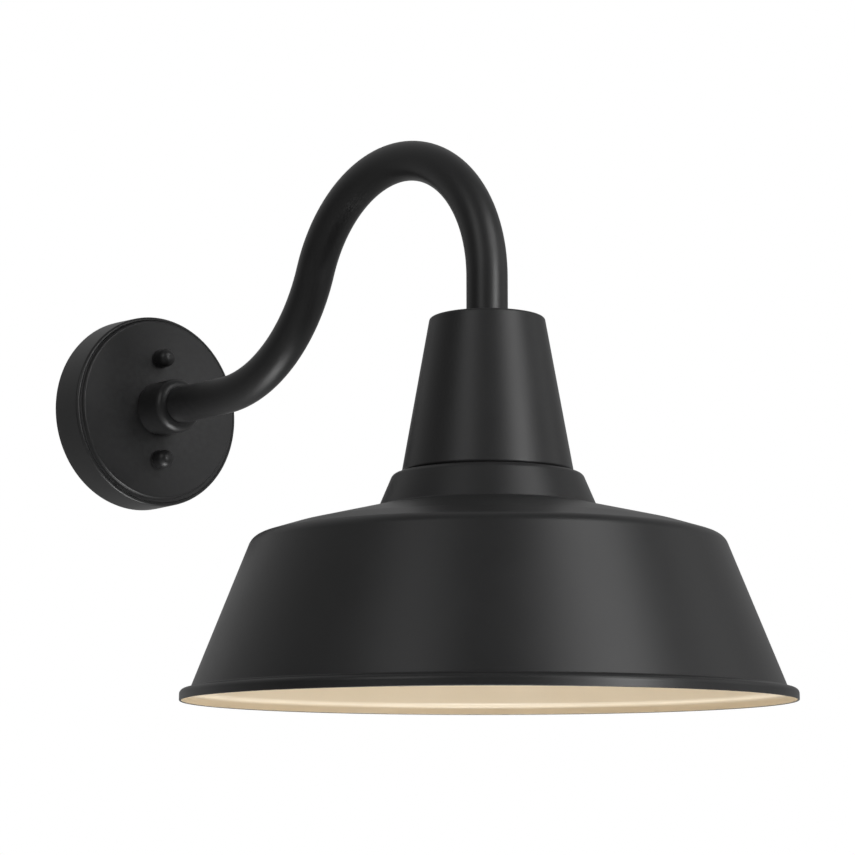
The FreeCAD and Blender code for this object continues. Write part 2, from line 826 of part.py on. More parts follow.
def shade_nuts():
    across_flats = 7.0
    high = CUP_FLANGE_TOP + SHADE_NUT_HEIGHT
    nut = hex_nut(across_flats, STUD_RADIUS + THREAD_GAP, CUP_FLANGE_TOP, high)
    nut.rotate(Vec(0, 0, 0), UP, 30)
    return on_lamp(spread_round(nut, SHADE_SCREW_CIRCLE, SHADE_SCREW_COUNT, 90))


# ---- wiring inside canopy, arm and cup ----------------------------------------------------------

LIVE_SIDE = -1
NEUTRAL_SIDE = 1
BUNDLE_SPREAD = 1.3
BUNDLE_DROP = -0.75
GROUND_RISE = 1.5
CONNECTOR_LENGTH = 17.0
CONNECTOR_MOUTH = 24.0
CONNECTOR_DEPTH = 6.8
LEAD_BEND = 5.0
LEADS_LEAVE_NIPPLE = HEAD_NIPPLE_END - 0.5
SWERVE_RADIUS = 6.0
LEAD_SWERVE = 65.0
GROUND_SWERVE = 45.0


def connector_direction(side):
    """The way from the canopy's centre to a wire connector: up and to one side."""
    return Vec(side, 0, 1).normalize()


def connector_start(side, distance):
    centre = Vec(side * BUNDLE_SPREAD, -CONNECTOR_DEPTH, BUNDLE_DROP)
    return centre + connector_direction(side) * distance


def wire_connectors():
    """Twist-on caps that join the live and neutral leads to the house wires."""
    bore = WIRE_RADIUS + FREE_GAP
    bore_end = 8.0
    mouth_radius = 4.1
    tip_radius = 2.6
    taper_start = 5.0
    cap = turned([
        (bore, 0),
        (mouth_radius, 0),
        (mouth_radius, taper_start, 1.0),
        (tip_radius, CONNECTOR_LENGTH, 1.2),
        (0, CONNECTOR_LENGTH),
        (0, bore_end),
        (bore, bore_end),
    ])
    caps = []
    for side in (LIVE_SIDE, NEUTRAL_SIDE):
        caps.append(pointed(cap, connector_direction(side), connector_start(side, CONNECTOR_MOUTH)))
    return Part.makeCompound(caps)


def swerve_aside(route, first, last, angle, sideways):
    """Two equal bends with a slanting run between them, which end sideways off the old line."""
    radians = math.radians(angle)
    slant = (sideways - 2 * SWERVE_RADIUS * (1 - math.cos(radians))) / math.sin(radians)
    route.bend(first, angle, SWERVE_RADIUS)
    route.straight(slant)
    route.bend(last, angle, SWERVE_RADIUS)


def lead_route(side):
    """From a wire connector through nipple, arm and nipple to a terminal of the socket."""
    inside_connector = 7.0
    first_run = CONNECTOR_MOUTH + inside_connector - LEAD_BEND
    start = connector_start(side, CONNECTOR_MOUTH + inside_connector)
    route = Route(start, connector_direction(side) * -1)
    route.straight(first_run)
    route.bend(OUTWARD, 90, LEAD_BEND)
    route.along_arm(BUNDLE_DROP, LEADS_LEAVE_NIPPLE)
    beside_terminal = TERMINAL_FACE + WIRE_RADIUS + SCREW_HOLE_GAP
    swerve_aside(route, RIGHT * side, DOWN, LEAD_SWERVE, beside_terminal - BUNDLE_SPREAD)
    above_screw_head = 3.4
    route.straight(route.position.z - (TERMINAL_HEIGHT + above_screw_head) + LAMP_DROP)
    return route


def line_wire():
    return lead_route(LIVE_SIDE).tube(WIRE_RADIUS)


def neutral_wire():
    return lead_route(NEUTRAL_SIDE).tube(WIRE_RADIUS)


def ground_route():
    """From the ring terminal through the arm to a screw of the socket strap."""
    depth = BRACKET_THICKNESS + RING_TERMINAL_BARREL
    inside_barrel = GROUND_SCREW_PLACE[0] - 9.0
    start = Vec(inside_barrel, -depth, GROUND_RISE)
    route = Route(start, RIGHT * -1)
    route.straight(start.x - LEAD_BEND)
    route.bend(OUTWARD, 90, LEAD_BEND)
    route.along_arm(GROUND_RISE, LEADS_LEAVE_NIPPLE)
    swerve_aside(route, OUTWARD, DOWN, GROUND_SWERVE, STRAP_SCREW_PLACE - GROUND_RISE)
    return route


def ground_wire():
    return ground_route().tube(WIRE_RADIUS)


# ---- bulb ---------------------------------------------------------------------------------------

CONTACT_RADIUS = 4.8
CONTACT_BEVEL = 1.2
CONTACT_HEIGHT = 1.4
INSULATOR_BOTTOM = BULB_TIP - 5.4
CAP_SHEET = 0.35
CAP_END = -62.5
BULB_NECK_RADIUS = 12.6
GLASS_TOP = -57.0
FILAMENT_COUNT = 4
FILAMENT_TOP = -93.0
FILAMENT_BOTTOM = -127.0
FILAMENT_CIRCLE = 6.5
FILAMENT_RADIUS = 0.9
STEM_ROD_RADIUS = 1.1
STEM_WAIST_RADIUS = 3.2
STEM_WAIST = -80.0


def bulb_contact():
    """The solder disc at the bulb's tip."""
    return on_lamp(turned([
        (0, BULB_TIP - CONTACT_HEIGHT),
        (CONTACT_RADIUS, BULB_TIP - CONTACT_HEIGHT),
        (CONTACT_RADIUS - CONTACT_BEVEL, BULB_TIP, 1.0),
        (0, BULB_TIP),
    ]))


def bulb_insulator():
    """The black glass cone between the bulb's tip and its screw cap."""
    top = BULB_TIP - CONTACT_HEIGHT
    top_radius = CONTACT_RADIUS + 0.6
    bottom_radius = 9.6
    return on_lamp(turned([
        (0, top),
        (top_radius, top, 0.5),
        (bottom_radius, INSULATOR_BOTTOM),
        (0, INSULATOR_BOTTOM),
    ]))


def bulb_cap():
    """The bulb's screw cap: a thin metal shell round the neck of the glass."""
    inside = BULB_CAP_RADIUS - CAP_SHEET
    hole = 9.0
    lip = 10.4
    shoulder = INSULATOR_BOTTOM - 3.0
    return on_lamp(turned([
        (hole, INSULATOR_BOTTOM),
        (lip, INSULATOR_BOTTOM, 0.4),
        (BULB_CAP_RADIUS, shoulder, 1.2),
        (BULB_CAP_RADIUS, CAP_END),
        (inside, CAP_END),
        (inside, shoulder - 0.3, 0.9),
        (lip - 0.2, INSULATOR_BOTTOM - CAP_SHEET, 0.3),
        (hole, INSULATOR_BOTTOM - CAP_SHEET),
    ]))


def globe_outline(shrink):
    """Edges of a bulb's skin from its neck to its lowest point, set inwards by shrink."""
    lean = math.radians(40)
    neck_radius = BULB_NECK_RADIUS - shrink
    globe = BULB_GLOBE_RADIUS - shrink
    leave = Vec(globe * math.cos(lean), 0, GLOBE_CENTRE + globe * math.sin(lean))
    sweep_radius = (leave.x - neck_radius) / (1 - math.cos(lean))
    neck_end = Vec(neck_radius, 0, leave.z + sweep_radius * math.sin(lean))
    sweep_centre = Vec(neck_radius + sweep_radius, 0, neck_end.z)
    sweep_middle = sweep_centre + Vec(-math.cos(lean / 2), 0, -math.sin(lean / 2)) * sweep_radius
    part_way = lean - 1.1
    globe_side = Vec(globe * math.cos(part_way), 0, GLOBE_CENTRE + globe * math.sin(part_way))
    lowest = Vec(0, 0, GLOBE_CENTRE - globe)
    return [
        line(Vec(neck_radius, 0, GLASS_TOP), neck_end),
        Part.Arc(neck_end, sweep_middle, leave).toShape(),
        Part.Arc(leave, globe_side, lowest).toShape(),
    ]


def bulb_glass():
    """A clear globe of even glass, open at the neck."""
    outer = globe_outline(0)
    inner = globe_outline(BULB_GLASS)
    top = line(inner[0].firstVertex().Point, outer[0].firstVertex().Point)
    bottom = line(outer[-1].lastVertex().Point, inner[-1].lastVertex().Point)
    section = Part.Face(Part.Wire(Part.__sortEdges__(outer + inner + [top, bottom])))
    return on_lamp(outward_facing(section.revolve(Vec(0, 0, 0), UP, 360)))


def bulb_stem():
    """The glass mount: a flare in the neck, a pinched waist and a long rod."""
    flare = 11.6
    flare_top = GLASS_TOP - 1.0
    rod_end = FILAMENT_BOTTOM - 2.5
    return on_lamp(turned([
        (0, rod_end),
        (STEM_ROD_RADIUS, rod_end),
        (STEM_ROD_RADIUS, STEM_WAIST - 4.0, 1.0),
        (STEM_WAIST_RADIUS, STEM_WAIST, 1.5),
        (STEM_WAIST_RADIUS, STEM_WAIST + 7.0, 6.0),
        (flare, flare_top - 2.0, 2.0),
        (flare, flare_top),
        (flare - 1.0, flare_top),
        (0, STEM_WAIST + 9.0),
    ]))


def bulb_filaments():
    """Light-giving rods in a square round the stem."""
    end_rounding = 0.4
    rod = turned([
        (0, FILAMENT_BOTTOM),
        (FILAMENT_RADIUS, FILAMENT_BOTTOM, end_rounding),
        (FILAMENT_RADIUS, FILAMENT_TOP, end_rounding),
        (0, FILAMENT_TOP),
    ])
    return on_lamp(spread_round(rod, FILAMENT_CIRCLE, FILAMENT_COUNT, 45))


def bulb_filament_wires():
    """Thin wires that carry both ends of each filament: from the waist above, to the rod below."""
    gap = 0.02
    thickness = 0.25
    upper_start = Vec(STEM_WAIST_RADIUS + gap + thickness, 0, STEM_WAIST + 1.0)
    upper_end = Vec(FILAMENT_CIRCLE, 0, FILAMENT_TOP + gap + thickness)
    upper_run = upper_end - upper_start
    upper = Part.makeCylinder(thickness, upper_run.Length, upper_start, upper_run)
    lower_height = FILAMENT_BOTTOM - gap - thickness
    lower_start = STEM_ROD_RADIUS + gap
    lower_length = FILAMENT_CIRCLE - lower_start
    lower = Part.makeCylinder(thickness, lower_length, Vec(lower_start, 0, lower_height), RIGHT)
    both = Part.makeCompound([upper, lower])
    return on_lamp(spread_round(both, 0, FILAMENT_COUNT, 45))


# ---- output -------------------------------------------------------------------------------------

PIECES = [
    wall_gasket,
    mounting_bracket,
    mounting_studs,
    stud_lock_nuts,
    ground_screw,
    ground_ring_terminal,
    canopy,
    cap_nut_washers,
    cap_nuts,
    collar_gasket,
    arm_collar,
    collar_set_screw,
    arm_root_bush,
    wall_nipple,
    wall_nipple_washer,
    wall_nipple_nut,
    arm_tube,
    arm_head_bush,
    head_nipple,
    head_ring,
    socket_cup,
    socket_strap,
    head_nipple_washer,
    head_nipple_nut,
    strap_screws,
    socket_body,
    socket_screw_shell,
    socket_centre_contact,
    terminal_screws,
    shade_gasket,
    shade,
    shade_screws,
    shade_nuts,
    wire_connectors,
    line_wire,
    neutral_wire,
    ground_wire,
    bulb_contact,
    bulb_insulator,
    bulb_cap,
    bulb_glass,
    bulb_stem,
    bulb_filaments,
    bulb_filament_wires,
]


def main():
    os.makedirs("parts", exist_ok=True)
    for piece in PIECES:
        name = piece.__name__
        shape = piece()
        shape.exportStep(os.path.join("parts", name + ".step"))
        size = shape.BoundBox
        print(
            f"{name:24s} valid {shape.isValid()} solids {len(shape.Solids)} volume {shape.Volume:10.1f}"
            f"  x {size.XMin:7.1f} {size.XMax:7.1f}  y {size.YMin:7.1f} {size.YMax:7.1f}"
            f"  z {size.ZMin:7.1f} {size.ZMax:7.1f}"
        )
    for name, route in (
        ("live lead", lead_route(LIVE_SIDE)),
        ("neutral lead", lead_route(NEUTRAL_SIDE)),
        ("ground lead", ground_route()),
    ):
        length = route.length()
        tube_volume = length * math.pi * WIRE_RADIUS**2
        print(f"{name}: length {length:.1f} mm, volume by length {tube_volume:.1f} mm3")


main()
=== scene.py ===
import json
import math

import bmesh
import bpy
from mathutils import Matrix, Vector


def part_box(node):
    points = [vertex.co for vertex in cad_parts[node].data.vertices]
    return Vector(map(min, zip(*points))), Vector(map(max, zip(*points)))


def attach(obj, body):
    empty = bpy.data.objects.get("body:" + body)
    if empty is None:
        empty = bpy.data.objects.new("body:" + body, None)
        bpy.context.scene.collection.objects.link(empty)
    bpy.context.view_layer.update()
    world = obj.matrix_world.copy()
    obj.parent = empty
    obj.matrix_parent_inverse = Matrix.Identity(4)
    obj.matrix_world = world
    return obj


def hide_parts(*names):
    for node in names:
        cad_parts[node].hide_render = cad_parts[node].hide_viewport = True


# Looks for a black gooseneck wall lantern with an ivory shade lining. Everything is in metres, in the
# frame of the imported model: the wall is y = 0, +Z is up and the lantern reaches out along -Y.
# Turned shapes are drawn as (radius, height) outlines about +Z and then placed on the wall or the lamp.

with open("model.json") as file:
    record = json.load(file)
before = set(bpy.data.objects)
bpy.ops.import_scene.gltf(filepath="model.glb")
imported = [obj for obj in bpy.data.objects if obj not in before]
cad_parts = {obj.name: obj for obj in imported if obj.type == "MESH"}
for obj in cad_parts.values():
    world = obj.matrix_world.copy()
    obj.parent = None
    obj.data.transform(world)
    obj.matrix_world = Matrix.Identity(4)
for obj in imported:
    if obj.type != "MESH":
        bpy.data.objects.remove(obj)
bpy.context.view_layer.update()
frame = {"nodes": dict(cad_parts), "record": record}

# ---- sizes, from the frame where it gives them --------------------------------------------------

MM = 0.001

SHADE_LOW, SHADE_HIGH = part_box("shade")
CUP_LOW, CUP_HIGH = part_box("socket_cup")
ARM_LOW, ARM_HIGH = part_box("arm_tube")
CANOPY_LOW, CANOPY_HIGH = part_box("canopy")
COLLAR_LOW, COLLAR_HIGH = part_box("arm_collar")
SEAL_LOW, SEAL_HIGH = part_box("head_ring")
CAP_NUTS_LOW, CAP_NUTS_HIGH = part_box("cap_nuts")
STUDS_LOW, STUDS_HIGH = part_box("mounting_studs")
WALL_NIPPLE_LOW, WALL_NIPPLE_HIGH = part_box("wall_nipple")
HEAD_NIPPLE_LOW, HEAD_NIPPLE_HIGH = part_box("head_nipple")
BULB_CAP_LOW, BULB_CAP_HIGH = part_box("bulb_cap")
SHELL_LOW, SHELL_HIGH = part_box("socket_screw_shell")

LAMP_Y = (SHADE_LOW.y + SHADE_HIGH.y) / 2
SHEET = 1.2 * MM

# the shade; each drop is measured down from its flat top
RIM_RADIUS = SHADE_HIGH.x
SHADE_TOP = SHADE_HIGH.z
SHADE_RIM = SHADE_LOW.z
NECK_RADIUS = 55.4 * MM
NECK_ROUNDING = 4.0 * MM
CROWN_START_RADIUS = 63.7 * MM
CROWN_START_DROP = 19.6 * MM
CROWN_BREAK_RADIUS = 115.1 * MM
CROWN_BREAK_DROP = 31.7 * MM
CROWN_ROUNDING = 60.0 * MM
SHOULDER_RADIUS = 137.1 * MM
SHOULDER_DROP = 38.5 * MM
SHOULDER_ROUNDING = 8.8 * MM
SKIRT_RADIUS = 171.2 * MM
SKIRT_DROP = 124.8 * MM
FOLD_ROUNDING = 1.2 * MM
RIM_SHELF_DROP = 125.8 * MM
RIM_ROUNDING = 3.0 * MM
LIP_BEVEL = 0.3 * MM

CUP_TOP_RADIUS = 33.95 * MM
CUP_TOP_ROUNDING = 2.0 * MM
CUP_BOTTOM_RADIUS = 50.3 * MM
CUP_FOOT_ROUNDING = 1.4 * MM
NIPPLE_HOLE = 5.3 * MM
FLANGE_HOLE = 39.0 * MM
SEAL_ROUNDING = 0.9 * MM

TUBE_RADIUS = -ARM_LOW.z
TUBE_WALL = 1.65 * MM
TUBE_GAP = 0.1 * MM
ARM_END = SEAL_HIGH.z
LOWER_BEND = 106.0 * MM
CLIMB = math.radians(69.1)
UPPER_BEND = (ARM_HIGH.z - TUBE_RADIUS) / (1 - math.cos(CLIMB)) - LOWER_BEND
LOWER_BEND_STEPS = 28
UPPER_BEND_STEPS = 60

# the bead round the tube's lamp end, as (millimetres above the end, share of the bead's height)
END_BEAD_HEIGHT = 0.7 * MM
END_BEAD_PROFILE = (
    (2.9, 0),
    (2.3, 0),
    (2.05, 0.6),
    (1.6, 0.95),
    (1.1, 1),
    (0.6, 1),
    (0.2, 0.8),
    (0, 0.4),
)

# the canopy, measured outwards from the wall
CANOPY_RADIUS = CANOPY_HIGH.x
CANOPY_DROP = -(CANOPY_LOW.z + CANOPY_HIGH.z) / 2
CANOPY_FACE = -CANOPY_LOW.y
CANOPY_BACK = -CANOPY_HIGH.y
CANOPY_STEP = 2.0 * MM
CANOPY_EDGE_INSET = 0.6 * MM
CANOPY_EDGE_ROUNDING = 1.9 * MM
CANOPY_RIM_DEPTH = 2.0 * MM
DISC_RADIUS = 60.9 * MM
DISC_FOOT_RADIUS = 61.8 * MM
DISC_ROUNDING = 1.4 * MM
PAN_BEAD_INNER_RADIUS = 62.8 * MM
PAN_BEAD_CREST_RADIUS = 63.0 * MM
PAN_BEAD_CREST = 0.35 * MM
PAN_BEAD_ROUNDING = 0.1 * MM
GROOVE_RADIUS = 63.25 * MM
GROOVE_DEPTH = 0.55 * MM
GROOVE_OUTER_RADIUS = 63.4 * MM

COLLAR_BEVEL = 0.4 * MM
COLLAR_ROUNDING = 5.6 * MM
CAP_NUT_BEVEL = 0.3 * MM
CAP_NUT_ROUNDING = 5.4 * MM
CAP_NUT_END = 3.0 * MM

STUD_RADIUS = STUDS_HIGH.x
STUD_HEIGHT = STUDS_HIGH.z - STUD_RADIUS

# threads: a number 8 stud, a lamp nipple and a medium screw base
MACHINE_PITCH = 0.794 * MM
MACHINE_DEPTH = 0.45 * MM
NIPPLE_PITCH = 0.941 * MM
NIPPLE_DEPTH = 0.5 * MM
NIPPLE_BORE = 3.4 * MM
SCREW_BASE_PITCH = 3.629 * MM

# screw shells: where the thread stops short of each end, and the flare below it
BULB_CAP_DEPTH = 0.8 * MM
BULB_CAP_SHEET = 0.3 * MM
BULB_CAP_LIP = 10.2 * MM
BULB_CAP_HOLE = 9.0 * MM
BULB_CAP_PLAIN_TOP = 1.6 * MM
BULB_CAP_PLAIN_END = 5.6 * MM
SHELL_DEPTH = 0.75 * MM
SHELL_SHEET = 0.4 * MM
SHELL_FLOOR_HOLE = 6.5 * MM
SHELL_PLAIN_TOP = 3.0 * MM
SHELL_PLAIN_END = 5.2 * MM
SHELL_FLOOR_ROUNDING = 0.8 * MM
FLARE_OUTSIDE = 0.9 * MM
FLARE_INSIDE = 1.1 * MM

ON_LAMP = Matrix.Translation((0, LAMP_Y, 0))
ON_WALL = Matrix.Rotation(math.radians(90), 4, "X")

# ---- outlines -----------------------------------------------------------------------------------

ARC_STEP = math.radians(7)


def rounded(corners):
    """Points along (radius, height) corners; a third value in a corner is its rounding radius."""
    spots = [Vector(corner[:2]) for corner in corners]
    points = [spots[0]]
    for index in range(1, len(spots) - 1):
        corner = spots[index]
        if len(corners[index]) == 2:
            points.append(corner)
            continue
        rounding = corners[index][2]
        back = (spots[index - 1] - corner).normalized()
        ahead = (spots[index + 1] - corner).normalized()
        half_angle = back.angle(ahead) / 2
        centre = corner + (back + ahead).normalized() * rounding / math.sin(half_angle)
        start = corner + back * rounding / math.tan(half_angle) - centre
        turn = start.angle_signed(corner + ahead * rounding / math.tan(half_angle) - centre)
        steps = max(2, math.ceil(abs(turn) / ARC_STEP))
        for k in range(steps + 1):
            points.append(centre + Matrix.Rotation(-turn * k / steps, 2) @ start)
    points.append(spots[-1])
    return points


def inner_skin(points, thickness):
    """The other side of a sheet whose outer skin runs from the axis outwards and down."""
    offset = []
    last = len(points) - 1
    for index, point in enumerate(points):
        before = (point - points[max(index - 1, 0)]).normalized()
        after = (points[min(index + 1, last)] - point).normalized()
        along = (before + after).normalized()
        lean = max(before.dot(along), after.dot(along))
        offset.append(point + Vector((along.y, -along.x)) * thickness / lean)
    return offset


# ---- mesh builders ------------------------------------------------------------------------------

# points round a ring of large, middling and small turned shapes
FINE = 144
MEDIUM = 72
SMALL = 40

THREAD_ROWS = 8
SHARP_ANGLE = math.radians(35)
WELD_DISTANCE = 0.0005 * MM


def new_piece(name, points, faces, looks, face_looks=None):
    """A smooth-shaded object that is sharp at real corners."""
    mesh = bpy.data.meshes.new(name)
    mesh.from_pydata(points, [], faces)
    for look in looks:
        mesh.materials.append(look)
    if face_looks:
        mesh.polygons.foreach_set("material_index", face_looks)
    shape = bmesh.new()
    shape.from_mesh(mesh)
    bmesh.ops.remove_doubles(shape, verts=shape.verts, dist=WELD_DISTANCE)
    bmesh.ops.recalc_face_normals(shape, faces=shape.faces)
    shape.to_mesh(mesh)
    shape.free()
    mesh.shade_smooth()
    mesh.set_sharp_from_angle(angle=SHARP_ANGLE)
    piece = bpy.data.objects.new(name, mesh)
    bpy.context.scene.collection.objects.link(piece)
    even = piece.modifiers.new("even_shading", "WEIGHTED_NORMAL")
    even.keep_sharp = True
    return piece


def turned_grid(outline, segments, first=0):
    """Rings of points and the faces between them for an outline turned about +Z.

    A third value in an outline point shifts its ring that far along -Y.
    """
    points = []
    for radius, height, *shift in outline:
        drop = sum(shift)
        for k in range(segments):
            angle = math.tau * k / segments
            points.append(Vector((radius * math.cos(angle), radius * math.sin(angle) - drop, height)))
    faces = []
    for row in range(len(outline) - 1):
        for k in range(segments):
            near = first + row * segments
            far = near + segments
            across = (k + 1) % segments
            faces.append((near + k, near + across, far + across, far + k))
    return points, faces


def lathe(name, outline, place, looks, segments=FINE, lining_from=None):
    """Turns a closed outline. Rows from lining_from on take the second look."""
    rows = list(outline) + [outline[0]]
    points, faces = turned_grid(rows, segments)
    face_looks = None
    if lining_from is not None:
        face_looks = [int(index // segments >= lining_from) for index in range(len(faces))]
    return new_piece(name, [place @ point for point in points], faces, looks, face_looks)


def thread_grid(radius, depth, pitch, low, high, crest, segments, first=0, run_out=0.8):
    """A right-hand thread about +Z as one helical grid; its depth fades in over run_out turns."""
    step = pitch / THREAD_ROWS
    start = math.floor(low / pitch) * pitch - pitch
    rows = math.ceil((high + pitch - start) / step)
    points = []
    for row in range(rows):
        cut = depth * (1 - crest(row % THREAD_ROWS / THREAD_ROWS))
        for k in range(segments):
            height = start + row * step + pitch * k / segments
            height = min(max(height, low), high)
            margin = min(height - low, high - height) / (run_out * pitch)
            fade = min(margin, 1.0)
            reach = radius - depth + (depth - cut) * fade
            angle = math.tau * k / segments
            points.append(Vector((reach * math.cos(angle), reach * math.sin(angle), height)))
    faces = []
    for row in range(rows - 1 - THREAD_ROWS):
        for k in range(segments):
            near = first + row * segments + k
            beside = near + 1
            if k == segments - 1:
                beside = first + (row + THREAD_ROWS) * segments
            faces.append((near, beside, beside + segments, near + segments))
    return points, faces


def sharp_crest(phase):
    """A machine thread: flat crest and root with straight flanks."""
    return min(max(1.25 - abs(phase - 0.5) * 3.5, 0.0), 1.0)


def round_crest(phase):
    """A rolled lamp thread: an even wave."""
    return 0.5 - 0.5 * math.cos(math.tau * phase)


def threaded_rod(name, thread, ends, bore, place, look):
    """A rod with a machine (radius, depth, pitch) thread all along it. A bore of 0 leaves it solid."""
    radius, depth, pitch = thread
    low, high = ends
    points, faces = thread_grid(radius, depth, pitch, low, high, sharp_crest, SMALL)
    root = radius - depth
    inside = [(root, high), (bore, high), (bore, low), (root, low)]
    more_points, more_faces = turned_grid(inside, SMALL, len(points))
    points += more_points
    faces += more_faces
    return new_piece(name, [place @ point for point in points], faces, [look])


def swept_tube(name, stations, radius_at, bore, look):
    """A tube along (centre, direction) stations in the plane x = 0, with its bore and end faces.

    radius_at gives the outer radius at each station, and bore the inner radius all along.
    """
    rings = [(centre, way, radius_at[index]) for index, (centre, way) in enumerate(stations)]
    rings += [(centre, way, bore) for centre, way in reversed(stations)]
    rings.append(rings[0])
    points = []
    for centre, way, radius in rings:
        across = Vector((0, -way.z, way.y))
        for k in range(MEDIUM):
            angle = math.tau * k / MEDIUM
            sideways = Vector((1, 0, 0)) * radius * math.cos(angle)
            points.append(centre + sideways + across * radius * math.sin(angle))
    faces = []
    for row in range(len(rings) - 1):
        for k in range(MEDIUM):
            near = row * MEDIUM
            far = near + MEDIUM
            beside = (k + 1) % MEDIUM
            faces.append((near + k, near + beside, far + beside, far + k))
    return new_piece(name, points, faces, [look])


# ---- looks --------------------------------------------------------------------------------------


class Look:
    """One procedural material: a glossy shader fed by patterns in the object's own space."""

    def __init__(self, name, colour, roughness, constants=()):
        self.material = bpy.data.materials.new(name)
        self.material.use_nodes = True
        self.tree = self.material.node_tree
        self.tree.nodes.clear()
        self.shader = self.add("ShaderNodeBsdfPrincipled")
        output = self.add("ShaderNodeOutputMaterial")
        self.join(self.shader.outputs["BSDF"], output.inputs["Surface"])
        self.shader.inputs["Base Color"].default_value = (*colour, 1)
        self.shader.inputs["Roughness"].default_value = roughness
        for key, value in constants:
            self.shader.inputs[key].default_value = value
        self.place = self.add("ShaderNodeTexCoord").outputs["Object"]
        self.height = None

    def add(self, kind):
        return self.tree.nodes.new(kind)

    def join(self, output, target):
        self.tree.links.new(output, target)

    def noise(self, size, detail=2.0, stretch=(1, 1, 1)):
        """Cloudy noise from 0 to 1 with patches about size metres across."""
        mapping = self.add("ShaderNodeMapping")
        mapping.inputs["Scale"].default_value = stretch
        self.join(self.place, mapping.inputs["Vector"])
        texture = self.add("ShaderNodeTexNoise")
        texture.inputs["Scale"].default_value = 1 / size
        texture.inputs["Detail"].default_value = detail
        self.join(mapping.outputs["Vector"], texture.inputs["Vector"])
        return texture.outputs["Fac"]

    def specks(self, size):
        """Distance to the nearest of many scattered spots, about size metres apart."""
        texture = self.add("ShaderNodeTexVoronoi")
        texture.inputs["Scale"].default_value = 1 / size
        self.join(self.place, texture.inputs["Vector"])
        return texture.outputs["Distance"]

    def spun_rings(self, size):
        """Uneven rings about the lamp's axis, as spinning leaves them in sheet metal."""
        shift = self.add("ShaderNodeMapping")
        shift.inputs["Location"].default_value = (0, -LAMP_Y, 0)
        self.join(self.place, shift.inputs["Vector"])
        parts = self.add("ShaderNodeSeparateXYZ")
        self.join(shift.outputs["Vector"], parts.inputs["Vector"])
        flat = self.add("ShaderNodeCombineXYZ")
        self.join(parts.outputs["X"], flat.inputs["X"])
        self.join(parts.outputs["Y"], flat.inputs["Y"])
        radius = self.add("ShaderNodeVectorMath")
        radius.operation = "LENGTH"
        self.join(flat.outputs["Vector"], radius.inputs[0])
        along = self.combined(radius.outputs["Value"], parts.outputs["Z"], "SUBTRACT")
        texture = self.add("ShaderNodeTexNoise")
        texture.noise_dimensions = "1D"
        texture.inputs["Scale"].default_value = 1 / size
        texture.inputs["Detail"].default_value = 3.0
        self.join(along, texture.inputs["W"])
        return texture.outputs["Fac"]

    def combined(self, first, second, operation="ADD"):
        """Two patterns, or a pattern and a number, put together by one maths operation."""
        node = self.add("ShaderNodeMath")
        node.operation = operation
        for value, target in ((first, node.inputs[0]), (second, node.inputs[1])):
            if isinstance(value, (int, float)):
                target.default_value = value
            else:
                self.join(value, target)
        return node.outputs["Value"]

    def scaled(self, value, from_low, from_high, to_low, to_high):
        """Maps a pattern's range to another range, held at its ends."""
        node = self.add("ShaderNodeMapRange")
        self.join(value, node.inputs["Value"])
        limits = (from_low, from_high, to_low, to_high)
        for key, limit in zip(("From Min", "From Max", "To Min", "To Max"), limits):
            node.inputs[key].default_value = limit
        return node.outputs["Result"]

    def worn_edges(self, start=0.52, end=0.60):
        """1 on outer edges and 0 on flat and hollow places, broken up by noise."""
        geometry = self.add("ShaderNodeNewGeometry")
        edge = self.scaled(geometry.outputs["Pointiness"], start, end, 0, 1)
        patches = self.scaled(self.noise(4 * MM, 4.0), 0.35, 0.65, 0, 1)
        return self.combined(edge, patches, "MULTIPLY")

    def blend(self, factor, first, second):
        """A colour between two; each is a plain (r, g, b) or another blend."""
        node = self.add("ShaderNodeMix")
        node.data_type = "RGBA"
        self.join(factor, node.inputs["Factor"])
        for colour, target in ((first, node.inputs[6]), (second, node.inputs[7])):
            if isinstance(colour, tuple):
                target.default_value = (*colour, 1)
            else:
                self.join(colour, target)
        return node.outputs[2]

    def colour(self, value):
        self.join(value, self.shader.inputs["Base Color"])

    def roughness(self, value):
        self.join(value, self.shader.inputs["Roughness"])

    def bump(self, value, depth):
        """Adds a relief of the given depth in metres on top of any added before."""
        node = self.add("ShaderNodeBump")
        node.inputs["Distance"].default_value = depth
        self.join(value, node.inputs["Height"])
        if self.height:
            self.join(self.height, node.inputs["Normal"])
        self.height = node.outputs["Normal"]
        self.join(self.height, self.shader.inputs["Normal"])


def powder_coat(name, spun=False):
    """Satin black powder coat: a fine orange peel, slow drifts in gloss and paler worn edges."""
    dark = (0.017, 0.017, 0.0175)
    pale = (0.021, 0.021, 0.0215)
    dots = (0.032, 0.032, 0.033)
    rubbed = (0.048, 0.048, 0.049)
    look = Look(name, (0.019, 0.019, 0.0195), 0.40)
    drift = look.noise(60 * MM, 3.0)
    grain = look.noise(0.7 * MM, 3.0)
    body = look.blend(look.scaled(drift, 0.35, 0.65, 0, 1), dark, pale)
    dotted = look.blend(look.scaled(grain, 0.62, 0.72, 0, 0.5), body, dots)
    look.colour(look.blend(look.scaled(look.worn_edges(), 0, 1, 0, 0.5), dotted, rubbed))
    slow_gloss = look.scaled(drift, 0.3, 0.7, 0.36, 0.41)
    fine_gloss = look.scaled(grain, 0.3, 0.7, 0.0, 0.04)
    look.roughness(look.combined(slow_gloss, fine_gloss))
    if spun:
        look.bump(look.spun_rings(3.0 * MM), 0.006 * MM)
    look.bump(look.noise(1.6 * MM, 2.0), 0.02 * MM)
    look.bump(grain, 0.008 * MM)
    return look.material


